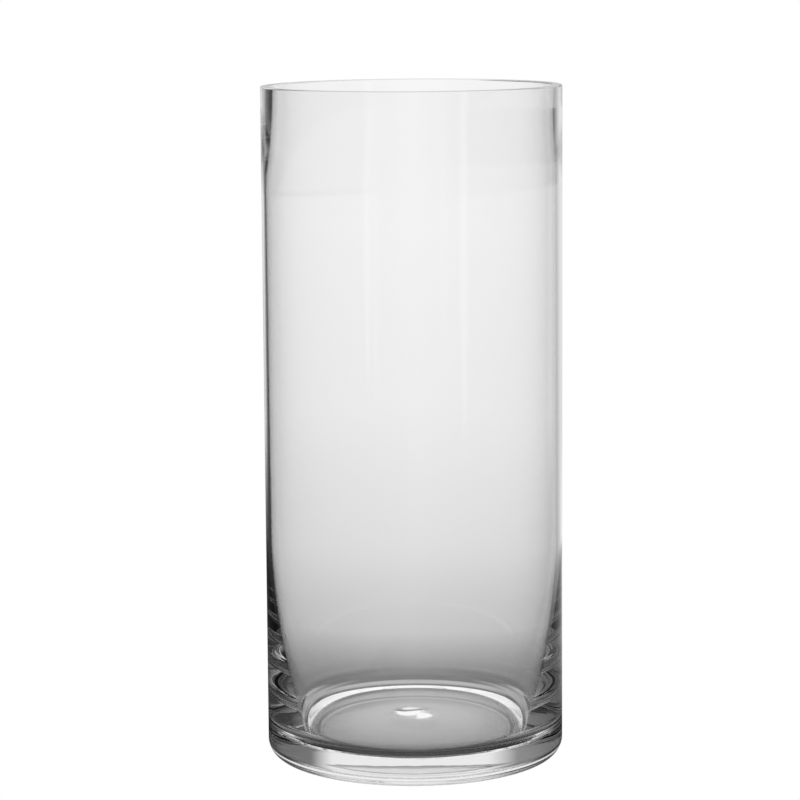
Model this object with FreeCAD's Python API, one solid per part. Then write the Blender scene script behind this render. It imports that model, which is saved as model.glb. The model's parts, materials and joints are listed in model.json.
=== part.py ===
import FreeCAD, Part
import math
import os

# A tall glass cylinder vase, in millimetres. The axis of the cylinder is +Z, and the origin is the
# centre of its underside, on the plane that the vase stands on.

# Driving dimensions.
outer_diameter = 101.6
height = 230.0
wall = 1.9
lip_wall = 3.5
lip_height = 6.0
lip_rounding = 0.45
neck_foot = 194.0
flare_top = 75.0
flare_radius = 294.0
floor_thickness = 7.6
floor_fillet = 9.0
heel_radius = 6.0
kick_radius = 38.0
kick_depth = 0.3

# Sizes that follow from them.
outer_radius = outer_diameter / 2
bore_radius = outer_radius - wall
mouth_radius = outer_radius - lip_wall
standing_radius = outer_radius - heel_radius
lip_foot = height - lip_height

# Under the lip the bore opens out from the mouth to its full width along an S of two equal arcs,
# the neck. Each arc covers half of the neck's height and half of its step in radius.
neck_half_height = (lip_foot - neck_foot) / 2
neck_half_step = (bore_radius - mouth_radius) / 2
neck_radius = (neck_half_height**2 + neck_half_step**2) / (2 * neck_half_step)
neck_half_turn = math.degrees(math.asin(neck_half_height / neck_radius)) / 2

# Above the floor the bore closes in along a long arc, the flare, until it meets the floor fillet.
# The two arcs touch where both lean by this angle from the upright.
flare_lean = math.asin((flare_top - floor_thickness - floor_fillet) / (flare_radius - floor_fillet))
shoulder_radius = bore_radius - flare_radius * (1 - math.cos(flare_lean))
shoulder_height = flare_top - flare_radius * math.sin(flare_lean)
fillet_centre_radius = shoulder_radius - floor_fillet * math.cos(flare_lean)


def point(radius, z):
    """A point of the half section, which lies in the XZ plane."""
    return FreeCAD.Vector(radius, 0, z)


def line(start, end):
    return Part.LineSegment(point(*start), point(*end)).toShape()


def arc(start, centre, radius, middle_angle, end):
    """An arc from start to end about centre, through the point at middle_angle degrees from +X."""
    turn = math.radians(middle_angle)
    middle = (centre[0] + radius * math.cos(turn), centre[1] + radius * math.sin(turn))
    return Part.Arc(point(*start), point(*middle), point(*end)).toShape()


def turned(edges):
    """The solid that a closed half section sweeps in one full turn about the axis."""
    section = Part.Face(Part.Wire(edges))
    solid = section.revolve(FreeCAD.Vector(0, 0, 0), FreeCAD.Vector(0, 0, 1), 360)
    return solid if solid.ShapeType == "Solid" else Part.Solid(solid.Shells[0])


def heavy_base():
    """The thick floor: a rounded heel, a flat standing ring round a shallow kick, and the fillet."""
    kick_arc_radius = (kick_radius**2 + kick_depth**2) / (2 * kick_depth)
    kick_half_turn = math.degrees(math.asin(kick_radius / kick_arc_radius)) / 2
    kick_centre = (0, kick_depth - kick_arc_radius)
    kick_edge = (kick_radius, 0)
    heel_foot = (standing_radius, 0)
    heel_centre = (standing_radius, heel_radius)
    heel_top = (outer_radius, heel_radius)
    shoulder_outside = (outer_radius, shoulder_height)
    shoulder_inside = (shoulder_radius, shoulder_height)
    fillet_centre = (fillet_centre_radius, floor_thickness + floor_fillet)
    fillet_middle = -(90 + math.degrees(flare_lean)) / 2
    floor_edge = (fillet_centre_radius, floor_thickness)
    floor_middle = (0, floor_thickness)
    kick_top = (0, kick_depth)
    return turned(
        [
            arc(kick_top, kick_centre, kick_arc_radius, 90 - kick_half_turn, kick_edge),
            line(kick_edge, heel_foot),
            arc(heel_foot, heel_centre, heel_radius, -45, heel_top),
            line(heel_top, shoulder_outside),
            line(shoulder_outside, shoulder_inside),
            arc(shoulder_inside, fillet_centre, floor_fillet, fillet_middle, floor_edge),
            line(floor_edge, floor_middle),
            line(floor_middle, kick_top),
        ]
    )


def cylinder_wall():
    """The wall: straight outside, thin at mid height, thicker up the neck and down the flare."""
    neck_middle_radius = mouth_radius + neck_half_step
    neck_middle_height = neck_foot + neck_half_height
    neck_top = (mouth_radius, lip_foot)
    neck_top_centre = (mouth_radius + neck_radius, lip_foot)
    neck_middle = (neck_middle_radius, neck_middle_height)
    neck_bottom_centre = (bore_radius - neck_radius, neck_foot)
    neck_bottom = (bore_radius, neck_foot)
    flare_start = (bore_radius, flare_top)
    flare_centre = (bore_radius - flare_radius, flare_top)
    flare_middle = -math.degrees(flare_lean) / 2
    shoulder_inside = (shoulder_radius, shoulder_height)
    shoulder_outside = (outer_radius, shoulder_height)
    lip_outside = (outer_radius, lip_foot)
    return turned(
        [
            line(shoulder_outside, lip_outside),
            line(lip_outside, neck_top),
            arc(neck_top, neck_top_centre, neck_radius, 180 + neck_half_turn, neck_middle),
            arc(neck_middle, neck_bottom_centre, neck_radius, neck_half_turn, neck_bottom),
            line(neck_bottom, flare_start),
            arc(flare_start, flare_centre, flare_radius, flare_middle, shoulder_inside),
            line(shoulder_inside, shoulder_outside),
        ]
    )


def rim_lip():
    """The cut and fire-polished lip: a flat land between two finely rounded edges."""
    rounding_foot = height - lip_rounding
    outer_foot = (outer_radius, lip_foot)
    outer_side = (outer_radius, rounding_foot)
    outer_centre = (outer_radius - lip_rounding, rounding_foot)
    outer_land = (outer_radius - lip_rounding, height)
    inner_land = (mouth_radius + lip_rounding, height)
    inner_centre = (mouth_radius + lip_rounding, rounding_foot)
    inner_side = (mouth_radius, rounding_foot)
    inner_foot = (mouth_radius, lip_foot)
    return turned(
        [
            line(outer_foot, outer_side),
            arc(outer_side, outer_centre, lip_rounding, 45, outer_land),
            line(outer_land, inner_land),
            arc(inner_land, inner_centre, lip_rounding, 135, inner_side),
            line(inner_side, inner_foot),
            line(inner_foot, outer_foot),
        ]
    )


def main():
    os.makedirs("parts", exist_ok=True)
    for make in (heavy_base, cylinder_wall, rim_lip):
        shape = make()
        print(f"{make.__name__}: valid {shape.isValid()}, {shape.Volume:.0f} cubic mm")
        shape.exportStep(f"parts/{make.__name__}.step")
    print(f"flare meets fillet at radius {shoulder_radius:.2f} and height {shoulder_height:.2f}")


main()
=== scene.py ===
import json
import math

import bmesh
import bpy
from bpy.props import FloatProperty, FloatVectorProperty, IntProperty, PointerProperty
from mathutils import Matrix, Vector


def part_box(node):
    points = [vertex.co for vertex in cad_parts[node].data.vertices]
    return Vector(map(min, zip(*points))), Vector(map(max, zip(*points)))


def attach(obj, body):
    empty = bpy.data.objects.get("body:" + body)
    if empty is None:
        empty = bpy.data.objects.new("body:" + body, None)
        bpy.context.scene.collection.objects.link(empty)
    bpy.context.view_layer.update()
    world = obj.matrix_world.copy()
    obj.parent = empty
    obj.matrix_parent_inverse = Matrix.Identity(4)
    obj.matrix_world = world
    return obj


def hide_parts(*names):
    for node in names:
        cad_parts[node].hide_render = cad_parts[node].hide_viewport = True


bl_info = {
    "name": "Glass cylinder vase",
    "version": (1, 0, 0),
    "blender": (4, 5, 0),
    "location": "View3D > Sidebar > Vase",
    "description": "Makes a clear glass cylinder vase with a heavy base, and the studio it stands in",
    "category": "Add Mesh",
}

MM = 0.001

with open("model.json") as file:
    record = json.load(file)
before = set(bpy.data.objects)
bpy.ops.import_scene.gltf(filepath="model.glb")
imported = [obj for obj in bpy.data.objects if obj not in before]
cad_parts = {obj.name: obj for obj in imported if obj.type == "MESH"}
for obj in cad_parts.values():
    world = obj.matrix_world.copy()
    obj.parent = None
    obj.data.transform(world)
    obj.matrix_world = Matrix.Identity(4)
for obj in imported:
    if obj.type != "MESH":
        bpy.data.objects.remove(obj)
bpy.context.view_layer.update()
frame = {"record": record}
BASE_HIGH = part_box("heavy_base")[1]
LIP_LOW, LIP_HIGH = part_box("rim_lip")
MOUNTS = {mount["name"]: mount for mount in frame["record"]["mounts"]}


class VaseShape(bpy.types.PropertyGroup):
    """The sizes of the glass."""

    outer_radius: FloatProperty(
        name="Outer radius",
        description="Radius of the outside of the cylinder",
        default=BASE_HIGH[0],
        unit="LENGTH",
    )
    height: FloatProperty(
        name="Height", description="From the table to the rim", default=LIP_HIGH[2], unit="LENGTH"
    )
    wall: FloatProperty(
        name="Wall", description="Thickness of the wall at mid height", default=1.9 * MM, unit="LENGTH"
    )
    mouth_radius: FloatProperty(
        name="Mouth radius",
        description="Inside radius of the thickened lip",
        default=MOUNTS["mouth"]["dims"]["r_mm"] * MM,
        unit="LENGTH",
    )
    lip_foot: FloatProperty(
        name="Lip foot", description="Height where the lip begins", default=LIP_LOW[2], unit="LENGTH"
    )
    lip_rounding: FloatProperty(
        name="Lip rounding", description="Radius of both edges of the lip", default=0.45 * MM, unit="LENGTH"
    )
    neck_foot: FloatProperty(
        name="Neck foot",
        description="Height where the bore starts to narrow towards the lip",
        default=194.0 * MM,
        unit="LENGTH",
    )
    flare_top: FloatProperty(
        name="Flare top",
        description="Height under which the wall grows thicker towards the base",
        default=75.0 * MM,
        unit="LENGTH",
    )
    flare_radius: FloatProperty(
        name="Flare radius", description="Radius of the flare's long arc", default=294.0 * MM, unit="LENGTH"
    )
    floor_thickness: FloatProperty(
        name="Floor thickness",
        description="Height of the inner floor over the table",
        default=MOUNTS["inner_floor"]["pos_m"][2],
        unit="LENGTH",
    )
    floor_fillet: FloatProperty(
        name="Floor fillet",
        description="Radius between inner floor and wall",
        default=9.0 * MM,
        unit="LENGTH",
    )
    heel_radius: FloatProperty(
        name="Heel radius", description="Radius of the outer bottom edge", default=6.0 * MM, unit="LENGTH"
    )
    kick_radius: FloatProperty(
        name="Kick radius",
        description="Radius of the hollow under the base",
        default=38.0 * MM,
        unit="LENGTH",
    )
    kick_depth: FloatProperty(
        name="Kick depth", description="Depth of the hollow under the base", default=0.3 * MM, unit="LENGTH"
    )
    bore_offset: FloatProperty(
        name="Bore offset",
        description="How far the bore lies off the axis at the neck's foot, as it does in blown glass",
        default=-0.3 * MM,
        unit="LENGTH",
    )
    mouth_offset: FloatProperty(
        name="Mouth offset",
        description="How far the mouth lies off the axis",
        default=0.45 * MM,
        unit="LENGTH",
    )
    pontil_radius: FloatProperty(
        name="Pontil radius",
        description="Radius of the shallow swirl left in the middle of the inner floor",
        default=13.0 * MM,
        unit="LENGTH",
    )
    pontil_depth: FloatProperty(
        name="Pontil depth", description="Depth of that swirl", default=0.8 * MM, unit="LENGTH"
    )
    ripple_radius: FloatProperty(
        name="Ripple radius",
        description="Radius of the fine rings left in the floor fillet",
        default=40.2 * MM,
        unit="LENGTH",
    )
    ripple_width: FloatProperty(
        name="Ripple width", description="Half width of the rings together", default=2.2 * MM, unit="LENGTH"
    )
    ripple_depth: FloatProperty(
        name="Ripple depth", description="Height of one ring", default=0.06 * MM, unit="LENGTH"
    )
    slices: IntProperty(name="Slices", description="Equal slices of the full turn", default=8, min=4, max=16)
    steps: IntProperty(name="Steps", description="Steps of the skin in each slice", default=64, min=8, max=90)


class GlassLook(bpy.types.PropertyGroup):
    """The finish of the glass."""

    ior: FloatProperty(name="Index of refraction", description="Soda-lime glass is about 1.5", default=1.5)
    tint: FloatVectorProperty(
        name="Tint",
        description="Colour that deep glass takes",
        subtype="COLOR",
        default=(0.60, 0.61, 0.61),
        min=0,
        max=1,
    )
    density: FloatProperty(name="Density", description="Absorption of the tint, per metre", default=2.0)


class StudioLook(bpy.types.PropertyGroup):
    """The table and the light round the vase."""

    table_radius: FloatProperty(
        name="Table radius", description="Radius of the round white table", default=3.0, unit="LENGTH"
    )
    table_gap: FloatProperty(
        name="Table gap", description="Gap under the standing ring", default=0.2 * MM, unit="LENGTH"
    )
    strip_distance: FloatProperty(
        name="Strip distance", description="From the axis to the two strip lights", default=0.6, unit="LENGTH"
    )


# ---------------------------------------------------------------------------------------------
# The glass
# ---------------------------------------------------------------------------------------------


# Length of the first and the last step of a straight run.
SHORT_STEP = 0.08 * MM

# Steps of each curve of the half section. The fillet and the floor have the most, because they are
# seen drawn out through the wall.
KICK_STEPS = 8
HEEL_STEPS = 20
LIP_STEPS = 8
NECK_STEPS = 11
FLARE_STEPS = 26
FILLET_STEPS = 54
FLOOR_STEPS = 24

# The swirl in the floor: its lobes round the axis, how far they are twisted, and their share of it.
SWIRL_LOBES = 2
SWIRL_TWIST = 3
SWIRL_SHARE = 0.5

# Half waves of the fine rings, from their middle to their edge.
RIPPLE_TURNS = 3

# Finest distance at which the copied slices are joined.
JOIN_DISTANCE = 0.0001 * MM


class Section:
    """Draws the half section of the vase with a pen that starts on the axis."""

    def __init__(self, radius, height):
        self.mesh = bmesh.new()
        self.pen = self.mesh.verts.new((radius, 0, height))

    def straight(self, radius, height, steps):
        """Draws a straight run, with a short step at each end to keep its shading flat beside a curve."""
        start = self.pen.co.copy()
        end = Vector((radius, 0, height))
        short = SHORT_STEP / (end - start).length
        shares = [short + (1 - 2 * short) * step / steps for step in range(steps + 1)]
        for share in shares + [1]:
            made = bmesh.ops.extrude_vert_indiv(self.mesh, verts=[self.pen])
            self.pen = made["verts"][0]
            self.pen.co = start.lerp(end, share)

    def round(self, radius, height, turn, steps):
        """Turns the pen about a centre. A turn above zero goes from +X towards +Z."""
        made = bmesh.ops.spin(
            self.mesh,
            geom=[self.pen],
            cent=(radius, 0, height),
            axis=(0, -1, 0),
            angle=turn,
            steps=steps,
            use_merge=False,
            use_duplicate=False,
        )
        self.pen = next(item for item in made["geom_last"] if isinstance(item, bmesh.types.BMVert))

    def turned(self, slices, steps):
        """Turns the half section into a closed solid: one slice is spun, and the rest are its copies."""
        slice_angle = math.tau / slices
        self.turn(slice_angle, steps, copy=False)
        self.turn(math.tau - slice_angle, slices - 1, copy=True)
        bmesh.ops.remove_doubles(self.mesh, verts=self.mesh.verts, dist=JOIN_DISTANCE)
        bmesh.ops.recalc_face_normals(self.mesh, faces=self.mesh.faces)
        return self.mesh

    def turn(self, angle, steps, copy):
        """Spins all that is drawn about the vase's axis, as a swept skin or as copies."""
        geometry = self.mesh.verts[:] + self.mesh.edges[:] + self.mesh.faces[:]
        bmesh.ops.spin(
            self.mesh,
            geom=geometry,
            cent=(0, 0, 0),
            axis=(0, 0, 1),
            angle=angle,
            steps=steps,
            use_merge=False,
            use_duplicate=copy,
        )


def draw_underside(section, shape):
    """The shallow kick, the flat standing ring and the rounded heel."""
    kick_arc = (shape.kick_radius**2 + shape.kick_depth**2) / (2 * shape.kick_depth)
    section.round(0, shape.kick_depth - kick_arc, -math.asin(shape.kick_radius / kick_arc), KICK_STEPS)
    section.straight(shape.outer_radius - shape.heel_radius, 0, steps=2)
    section.round(shape.outer_radius - shape.heel_radius, shape.heel_radius, math.pi / 2, HEEL_STEPS)


def draw_outside(section, shape):
    """The straight outside of the cylinder and the lip's two rounded edges."""
    rounding = shape.lip_rounding
    section.straight(shape.outer_radius, shape.height - rounding, steps=2)
    section.round(shape.outer_radius - rounding, shape.height - rounding, math.pi / 2, LIP_STEPS)
    section.straight(shape.mouth_radius + rounding, shape.height, steps=1)
    section.round(shape.mouth_radius + rounding, shape.height - rounding, math.pi / 2, LIP_STEPS)
    section.straight(shape.mouth_radius, shape.lip_foot, steps=1)


def draw_neck(section, shape):
    """Under the lip the bore widens along an S of two equal arcs."""
    bore_radius = shape.outer_radius - shape.wall
    half_height = (shape.lip_foot - shape.neck_foot) / 2
    half_step = (bore_radius - shape.mouth_radius) / 2
    arc = (half_height**2 + half_step**2) / (2 * half_step)
    turn = math.asin(half_height / arc)
    section.round(shape.mouth_radius + arc, shape.lip_foot, turn, NECK_STEPS)
    section.round(bore_radius - arc, shape.neck_foot, -turn, NECK_STEPS)
    section.straight(bore_radius, shape.flare_top, steps=2)


def draw_floor(section, shape):
    """The flare, the fillet and the inner floor."""
    bore_radius = shape.outer_radius - shape.wall
    fillet_height = shape.floor_thickness + shape.floor_fillet
    lean = math.asin((shape.flare_top - fillet_height) / (shape.flare_radius - shape.floor_fillet))
    section.round(bore_radius - shape.flare_radius, shape.flare_top, -lean, FLARE_STEPS)
    reach = (shape.flare_radius - shape.floor_fillet) * math.cos(lean)
    fillet_centre = bore_radius - shape.flare_radius + reach
    section.round(fillet_centre, fillet_height, lean - math.pi / 2, FILLET_STEPS)
    section.straight(0, shape.floor_thickness, FLOOR_STEPS)


def shift_bore(mesh, shape):
    """Leans the bore a little off the axis: one way up to the neck, and then back to the other side."""
    inside = [v for v in mesh.verts if is_inside(v.co, shape)]
    for vert in inside:
        rise = min(1, (vert.co.z - shape.floor_thickness) / (shape.neck_foot - shape.floor_thickness))
        neck = max(0, (vert.co.z - shape.neck_foot) / (shape.height - shape.neck_foot))
        lean = rise * shape.bore_offset + neck * (shape.mouth_offset - shape.bore_offset)
        vert.co.x += lean * min(1, (shape.height - vert.co.z) / shape.lip_rounding)


def is_inside(place, shape):
    """True for a point of the bore and its floor."""
    middle = (shape.outer_radius + shape.mouth_radius) / 2
    return math.hypot(place.x, place.y) < middle and place.z > shape.floor_thickness / 2


def press_pontil(mesh, shape):
    """Presses a shallow swirl of two lobes into the middle of the inner floor."""
    for vert in mesh.verts:
        radius = math.hypot(vert.co.x, vert.co.y)
        if radius < shape.pontil_radius and vert.co.z > shape.floor_thickness / 2:
            way = math.atan2(vert.co.y, vert.co.x)
            reach = radius / shape.pontil_radius
            bowl = (1 + math.cos(math.pi * reach)) / 2
            lobes = 1 + SWIRL_SHARE * math.cos(SWIRL_LOBES * way + SWIRL_TWIST * reach) * reach
            vert.co.z -= shape.pontil_depth * bowl * lobes


def press_ripples(mesh, shape):
    """Raises a few fine rings in the fillet between floor and wall."""
    for vert in mesh.verts:
        across = (math.hypot(vert.co.x, vert.co.y) - shape.ripple_radius) / shape.ripple_width
        if abs(across) < 1 and shape.floor_thickness < vert.co.z < 2 * shape.floor_fillet:
            window = (1 + math.cos(math.pi * across)) / 2
            vert.co.z += shape.ripple_depth * window * math.cos(RIPPLE_TURNS * math.pi * across)


class VASE_OT_glass(bpy.types.Operator):
    """Make the glass body: heavy base, wall and lip in one continuous skin"""

    bl_idname = "vase.glass"
    bl_label = "Glass body"
    bl_options = {"REGISTER", "UNDO"}

    def execute(self, context):
        shape = context.scene.vase_shape
        section = Section(0, shape.kick_depth)
        draw_underside(section, shape)
        draw_outside(section, shape)
        draw_neck(section, shape)
        draw_floor(section, shape)
        mesh = section.turned(shape.slices, shape.steps)
        shift_bore(mesh, shape)
        press_pontil(mesh, shape)
        press_ripples(mesh, shape)
        body = finished(context, "vase_glass", mesh, clear_glass(context.scene.vase_glass))
        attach(body, "root")
        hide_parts("heavy_base", "cylinder_wall", "rim_lip")
        return {"FINISHED"}


def finished(context, name, mesh, material):
    """Makes a smooth-shaded object of a bmesh."""
    data = bpy.data.meshes.new(name)
    mesh.to_mesh(data)
    mesh.free()
    data.materials.append(material)
    data.polygons.foreach_set("use_smooth", [True] * len(data.polygons))
    piece = bpy.data.objects.new(name, data)
    context.collection.objects.link(piece)
    return piece


# ---------------------------------------------------------------------------------------------
# Materials
# ---------------------------------------------------------------------------------------------


def new_material(name):
    """A material with an empty node tree, and its output node."""
    material = bpy.data.materials.new(name)
    material.use_nodes = True
    material.node_tree.nodes.clear()
    return material, material.node_tree.nodes.new("ShaderNodeOutputMaterial")


def set_input(tree, node, key, value):
    """Links a socket, or sets a plain value."""
    if isinstance(value, bpy.types.NodeSocket):
        tree.links.new(value, node.inputs[key])
    else:
        node.inputs[key].default_value = value


def maths(tree, operation, *values):
    """A Math node."""
    node = tree.nodes.new("ShaderNodeMath")
    node.operation = operation
    for index, value in enumerate(values):
        set_input(tree, node, index, value)
    return node.outputs[0]


def eased(tree, value, start, end, low=0.0, high=1.0):
    """Goes smoothly from low to high while the value goes from start to end."""
    node = tree.nodes.new("ShaderNodeMapRange")
    node.interpolation_type = "SMOOTHSTEP"
    settings = {"Value": value, "From Min": start, "From Max": end, "To Min": low, "To Max": high}
    for key, setting in settings.items():
        set_input(tree, node, key, setting)
    return node.outputs[0]


def blended(tree, factor, low, high):
    """A number between low and high."""
    node = tree.nodes.new("ShaderNodeMix")
    for key, value in (("Factor", factor), ("A", low), ("B", high)):
        set_input(tree, node, key, value)
    return node.outputs["Result"]


def stepped(tree, value, stops):
    """A grey ramp through stops of place and brightness."""
    node = tree.nodes.new("ShaderNodeValToRGB")
    node.color_ramp.interpolation = "LINEAR"
    set_input(tree, node, "Fac", value)
    elements = node.color_ramp.elements
    while len(elements) < len(stops):
        elements.new(0.5)
    for element, (place, level) in zip(elements, stops):
        element.position = place
        element.color = (level, level, level, 1)
    return node.outputs["Color"]


def noise(tree, place, scale, detail):
    """The height of a noise pattern at a place."""
    node = tree.nodes.new("ShaderNodeTexNoise")
    node.inputs["Scale"].default_value = scale
    node.inputs["Detail"].default_value = detail
    tree.links.new(place, node.inputs["Vector"])
    return node.outputs["Fac"]


# The glass is faintly wavy, and its waves are drawn out along the axis. The heel has fine dimples as
# well, which fade out between these two heights.
WAVE_SCALE = 22
WAVE_STRETCH = (1, 1, 0.35)
DIMPLE_SCALE = 130
DIMPLE_HEIGHTS = (9 * MM, 4 * MM)
DIMPLE_SHARE = 0.5
BUMP_STRENGTH = 0.35
BUMP_DISTANCE = 0.12 * MM


def clear_glass(look):
    """Clear soda-lime glass with a faint waviness, which deepens to grey where it is thick."""
    material, output = new_material("clear_glass")
    tree = material.node_tree
    place = tree.nodes.new("ShaderNodeTexCoord").outputs["Object"]
    stretch = tree.nodes.new("ShaderNodeMapping")
    stretch.inputs["Scale"].default_value = WAVE_STRETCH
    tree.links.new(place, stretch.inputs["Vector"])
    waves = noise(tree, stretch.outputs[0], WAVE_SCALE, detail=1)
    dimples = noise(tree, place, DIMPLE_SCALE, detail=2)
    foot = eased(tree, split_place(tree, place)["Z"], *DIMPLE_HEIGHTS, 0.0, DIMPLE_SHARE)
    worn = maths(tree, "MULTIPLY", dimples, foot)
    bump = tree.nodes.new("ShaderNodeBump")
    bump.inputs["Strength"].default_value = BUMP_STRENGTH
    bump.inputs["Distance"].default_value = BUMP_DISTANCE
    tree.links.new(maths(tree, "ADD", waves, worn), bump.inputs["Height"])
    glass = tree.nodes.new("ShaderNodeBsdfPrincipled")
    glass.inputs["Base Color"].default_value = (1, 1, 1, 1)
    glass.inputs["Roughness"].default_value = 0
    glass.inputs["IOR"].default_value = look.ior
    glass.inputs["Transmission Weight"].default_value = 1
    tree.links.new(bump.outputs[0], glass.inputs["Normal"])
    tree.links.new(glass.outputs[0], output.inputs["Surface"])
    depth = tree.nodes.new("ShaderNodeVolumeAbsorption")
    depth.inputs["Color"].default_value = (*look.tint, 1)
    depth.inputs["Density"].default_value = look.density
    tree.links.new(depth.outputs[0], output.inputs["Volume"])
    return material


# ---------------------------------------------------------------------------------------------
# The studio
# ---------------------------------------------------------------------------------------------

# Light that comes from the table through the glass, by distance from the axis in metres, out to the
# reach. Close round the foot it is a painted shadow of the vase, and it is almost white further out. The
# narrow steps between 0.034 and 0.057 paint a fine dark shadow line and a painted light line at the foot.
TABLE_REACH = 2.0
TABLE_GLOW_AND_PAINTED_SHADOW = (
    (0.000, 0.50),
    (0.020, 0.42),
    (0.034, 0.25),
    (0.036, 0.17),
    (0.038, 0.05),
    (0.041, 0.09),
    (0.044, 0.17),
    (0.050, 0.12),
    (0.0515, 0.48),
    (0.0545, 0.48),
    (0.0565, 0.16),
    (0.085, 0.38),
    (0.125, 0.62),
    (0.200, 0.71),
    (0.340, 0.82),
    (0.800, 0.92),
    (2.000, 0.97),
)

# Light that the glass has reflected, by bearing in degrees from straight behind the vase, left below
# zero. It is dark at the sides, as if black cards stood there. The first two are for the table, close
# to the vase and far from it, where that dark is painted shade, and the last two are for the wall of the
# studio, low and high.
NEAR_PAINTED_DARK_SIDES = (
    (-180, 0.4),
    (-120, 0.1),
    (-60, 0.04),
    (-14, 0.06),
    (-5, 1),
    (20, 1),
    (30, 0.6),
    (55, 0.25),
    (75, 0.06),
    (180, 0.3),
)
FAR_PAINTED_DARK_SIDES = (
    (-180, 0.5),
    (-110, 0.1),
    (-60, 0.05),
    (-27, 0.07),
    (-20, 0.8),
    (22, 0.8),
    (33, 0.5),
    (50, 0.45),
    (180, 0.5),
)
LOW_SIDES = (
    (-180, 0.5),
    (-110, 0.1),
    (-60, 0.03),
    (-26, 0.07),
    (-19, 0.7),
    (22, 0.8),
    (36, 0.14),
    (50, 0.05),
    (135, 0.05),
    (180, 0.5),
)
HIGH_SIDES = (
    (-180, 0.4),
    (-135, 0.1),
    (-60, 0.2),
    (-32, 0.3),
    (-20, 0.95),
    (24, 0.95),
    (33, 0.2),
    (55, 0.18),
    (68, 0.05),
    (135, 0.06),
    (180, 0.4),
)

# The radius up to which the table is near, and the radius past which it is far, in metres.
NEAR_TO_FAR = (0.35, 0.8)

# Under the vase the table has painted shade at the front: between these two places along Y, in metres,
# its light rises from this level to full. Across the edge of the foot, by radius, that painted shade ends.
PAINTED_SHADE_FRONT_EDGE = (-0.03, 0.02)
PAINTED_SHADE_FRONT_LEVEL = 0.4
PAINTED_SHADE_FOOT_EDGE = (0.045, 0.055)

# The painted dark sides begin to show in the light of the table at the first radius, and are full at the
# second.
PAINTED_DARK_SIDES_EDGE = (0.046, 0.06)

# How steeply light comes down, as Z of a unit direction: over the first range the studio's wall turns
# from low to high, and over the second it gives way to the light overhead.
LOW_TO_HIGH = (0.15, 0.24)
WALL_TO_OVERHEAD = (0.48, 0.75)
OVERHEAD = 1.1
BACKDROP = 0.97

# A strip light narrows to a point over this share of its height, at its foot. The smallest width, as a
# share of the whole, keeps the point from dividing by zero.
STRIP_FOOT = 0.14
SMALLEST_WIDTH = 0.01


def split_place(tree, vector):
    """The three numbers of a place or a direction."""
    split = tree.nodes.new("ShaderNodeSeparateXYZ")
    tree.links.new(vector, split.inputs[0])
    return split.outputs


def by_bearing(tree, parts, stops):
    """The brightness at the bearing of a place or a direction, seen from above."""
    turn = maths(tree, "DIVIDE", maths(tree, "ARCTAN2", parts["X"], parts["Y"]), math.tau)
    places = [(0.5 + bearing / 360, level) for bearing, level in stops]
    return stepped(tree, maths(tree, "ADD", turn, 0.5), places)


def bounced(tree):
    """Two factors: 1 for light that the glass has reflected, and 1 for what the camera sees directly."""
    path = tree.nodes.new("ShaderNodeLightPath")
    return maths(tree, "GREATER_THAN", path.outputs["Glossy Depth"], 0.5), path.outputs["Is Camera Ray"]


def show(tree, output, seen, plain, light):
    """Sends the plain shader to the camera, and the other one to all other light."""
    choose = tree.nodes.new("ShaderNodeMixShader")
    for key, value in ((0, seen), (1, light.outputs[0]), (2, plain.outputs[0])):
        tree.links.new(value, choose.inputs[key])
    tree.links.new(choose.outputs[0], output.inputs["Surface"])


def table_material():
    """A white light table: plain to the camera, and through the glass with a painted shadow round the foot,
    painted shade at the front under it and painted dark sides.
    """
    material, output = new_material("white_table")
    tree = material.node_tree
    place = tree.nodes.new("ShaderNodeTexCoord").outputs["Object"]
    length = tree.nodes.new("ShaderNodeVectorMath")
    length.operation = "LENGTH"
    tree.links.new(place, length.inputs[0])
    distance = length.outputs["Value"]
    reach = maths(tree, "SQRT", maths(tree, "DIVIDE", distance, TABLE_REACH))
    places = [(math.sqrt(stop / TABLE_REACH), level) for stop, level in TABLE_GLOW_AND_PAINTED_SHADOW]
    # Painted shadow round the foot, with a painted light line, in the table's glow.
    glow_and_painted_shadow = stepped(tree, reach, places)
    parts = split_place(tree, place)
    # Painted shade under the front of the foot.
    front = eased(tree, parts["Y"], *PAINTED_SHADE_FRONT_EDGE, PAINTED_SHADE_FRONT_LEVEL, 1.0)
    under = eased(tree, distance, *PAINTED_SHADE_FOOT_EDGE, front, 1.0)
    reflected, seen = bounced(tree)
    # Painted dark sides on the table, seen only in reflections.
    near = by_bearing(tree, parts, NEAR_PAINTED_DARK_SIDES)
    far = by_bearing(tree, parts, FAR_PAINTED_DARK_SIDES)
    sides = blended(tree, eased(tree, distance, *NEAR_TO_FAR), near, far)
    away = eased(tree, distance, *PAINTED_DARK_SIDES_EDGE)
    dim = blended(tree, maths(tree, "MULTIPLY", reflected, away), 1.0, sides)
    plain = tree.nodes.new("ShaderNodeEmission")
    light = tree.nodes.new("ShaderNodeEmission")
    tree.links.new(glow_and_painted_shadow, light.inputs["Color"])
    tree.links.new(maths(tree, "MULTIPLY", dim, under), light.inputs["Strength"])
    show(tree, output, seen, plain, light)
    return material


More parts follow.
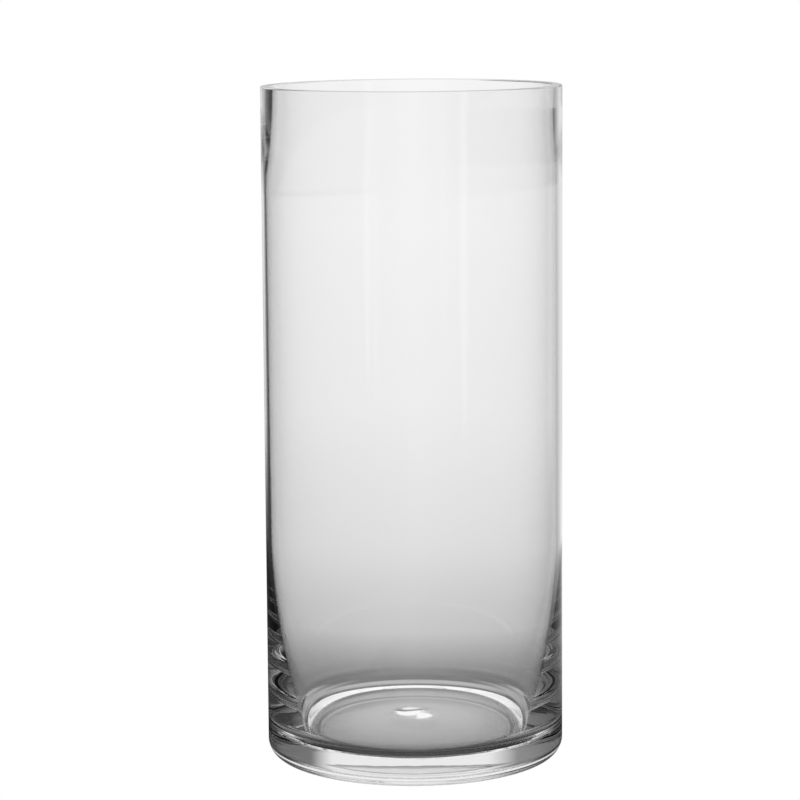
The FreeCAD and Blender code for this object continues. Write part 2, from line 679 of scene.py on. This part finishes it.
def light_studio(scene):
    """The white studio: bright behind, dark at the sides and soft overhead."""
    world = bpy.data.worlds.new("studio")
    world.use_nodes = True
    scene.world = world
    tree = world.node_tree
    tree.nodes.clear()
    direction = tree.nodes.new("ShaderNodeTexCoord").outputs["Generated"]
    parts = split_place(tree, direction)
    reflected, seen = bounced(tree)
    low = by_bearing(tree, parts, LOW_SIDES)
    high = by_bearing(tree, parts, HIGH_SIDES)
    sides = blended(tree, eased(tree, parts["Z"], *LOW_TO_HIGH), low, high)
    walls = blended(tree, reflected, BACKDROP, sides)
    level = blended(tree, eased(tree, parts["Z"], *WALL_TO_OVERHEAD), walls, OVERHEAD)
    light = tree.nodes.new("ShaderNodeBackground")
    plain = tree.nodes.new("ShaderNodeBackground")
    light.inputs["Color"].default_value = (1, 1, 1, 1)
    plain.inputs["Color"].default_value = (1, 1, 1, 1)
    tree.links.new(level, light.inputs["Strength"])
    show(tree, tree.nodes.new("ShaderNodeOutputWorld"), seen, plain, light)


def strip_material(strength):
    """A softbox that fades towards its two sides and its foot, and is seen only as a reflection."""
    material, output = new_material("strip_light")
    tree = material.node_tree
    parts = split_place(tree, tree.nodes.new("ShaderNodeUVMap").outputs[0])
    across = maths(tree, "ABSOLUTE", maths(tree, "SUBTRACT", parts["X"], 0.5))
    up = parts["Y"]
    half_width = maths(tree, "MULTIPLY", eased(tree, up, 0.0, STRIP_FOOT), 0.5)
    width = maths(tree, "MAXIMUM", half_width, SMALLEST_WIDTH)
    soft = eased(tree, maths(tree, "DIVIDE", across, width), 0.0, 1.0, 1.0, 0.0)
    reflected, _ = bounced(tree)
    power = maths(tree, "MULTIPLY", maths(tree, "MULTIPLY", soft, strength), reflected)
    light = tree.nodes.new("ShaderNodeEmission")
    tree.links.new(power, light.inputs["Strength"])
    clear = tree.nodes.new("ShaderNodeBsdfTransparent")
    both = tree.nodes.new("ShaderNodeAddShader")
    tree.links.new(light.outputs[0], both.inputs[0])
    tree.links.new(clear.outputs[0], both.inputs[1])
    tree.links.new(both.outputs[0], output.inputs["Surface"])
    return material


def add_strip(context, name, bearing, width, height, strength):
    """Stands a strip light in front of the vase, at a bearing in degrees from the camera's side."""
    distance = context.scene.vase_studio.strip_distance
    mesh = bmesh.new()
    mesh.loops.layers.uv.verify()
    bmesh.ops.create_grid(mesh, x_segments=1, y_segments=1, size=0.5, calc_uvs=True)
    bmesh.ops.scale(mesh, vec=(width, height, 1), verts=mesh.verts)
    bmesh.ops.rotate(mesh, cent=(0, 0, 0), matrix=Matrix.Rotation(math.pi / 2, 3, "X"), verts=mesh.verts)
    bmesh.ops.translate(mesh, vec=(0, -distance, height / 2), verts=mesh.verts)
    turn = Matrix.Rotation(math.radians(bearing), 3, "Z")
    bmesh.ops.rotate(mesh, cent=(0, 0, 0), matrix=turn, verts=mesh.verts)
    strip = finished(context, name, mesh, strip_material(strength))
    strip.visible_camera = False
    strip.visible_diffuse = False


def add_table(context):
    """The round table that the vase stands on."""
    studio = context.scene.vase_studio
    mesh = bmesh.new()
    bmesh.ops.create_circle(mesh, cap_ends=True, segments=128, radius=studio.table_radius)
    table = finished(context, "table", mesh, table_material())
    table.location.z = -studio.table_gap


# The camera's lens and sensor are in millimetres, its place in metres and its turns in degrees.
LENS = 138.4
SENSOR = 36
CAMERA_PLACE = (0, -1.0382, 0.2751)
CAMERA_PAN = 0.249
CAMERA_TILT = 8.336
CAMERA_ROLL = -0.41


def add_camera(context):
    """A long lens a little above the rim, tilted down at the vase."""
    data = bpy.data.cameras.new("camera")
    data.lens = LENS
    data.sensor_width = SENSOR
    data.clip_start = 0.01
    data.clip_end = 100
    camera = bpy.data.objects.new("camera", data)
    context.collection.objects.link(camera)
    stand = Matrix.Translation(CAMERA_PLACE)
    pan = Matrix.Rotation(math.radians(CAMERA_PAN), 4, "Z")
    tilt = Matrix.Rotation(math.radians(90 - CAMERA_TILT), 4, "X")
    roll = Matrix.Rotation(math.radians(CAMERA_ROLL), 4, "Z")
    camera.matrix_world = stand @ pan @ tilt @ roll
    context.scene.camera = camera


class VASE_OT_studio(bpy.types.Operator):
    """Set up the white table, the light and the camera"""

    bl_idname = "vase.studio"
    bl_label = "Studio"
    bl_options = {"REGISTER", "UNDO"}

    def execute(self, context):
        scene = context.scene
        scene.view_settings.view_transform = "Standard"
        scene.cycles.max_bounces = 24
        scene.cycles.glossy_bounces = 16
        scene.cycles.transmission_bounces = 24
        add_table(context)
        light_studio(scene)
        add_strip(context, "right_strip", bearing=38.4, width=0.10, height=0.7, strength=0.5)
        add_strip(context, "left_strip", bearing=-27.0, width=0.10, height=0.7, strength=0.2)
        add_camera(context)
        return {"FINISHED"}


class VASE_PT_panel(bpy.types.Panel):
    """Lists the operators that make the vase"""

    bl_idname = "VASE_PT_panel"
    bl_label = "Glass cylinder vase"
    bl_space_type = "VIEW_3D"
    bl_region_type = "UI"
    bl_category = "Vase"

    def draw(self, context):
        layout = self.layout
        for settings in (context.scene.vase_shape, context.scene.vase_glass, context.scene.vase_studio):
            box = layout.box()
            for name in settings.__annotations__:
                box.prop(settings, name)
        for operator in (VASE_OT_glass, VASE_OT_studio):
            layout.operator(operator.bl_idname)


CLASSES = (VaseShape, GlassLook, StudioLook, VASE_OT_glass, VASE_OT_studio, VASE_PT_panel)


def register():
    for cls in CLASSES:
        bpy.utils.register_class(cls)
    bpy.types.Scene.vase_shape = PointerProperty(type=VaseShape)
    bpy.types.Scene.vase_glass = PointerProperty(type=GlassLook)
    bpy.types.Scene.vase_studio = PointerProperty(type=StudioLook)


def unregister():
    del bpy.types.Scene.vase_shape
    del bpy.types.Scene.vase_glass
    del bpy.types.Scene.vase_studio
    for cls in reversed(CLASSES):
        bpy.utils.unregister_class(cls)


def main():
    register()
    bpy.ops.vase.glass()
    bpy.ops.vase.studio()


if __name__ == "__main__":
    main()
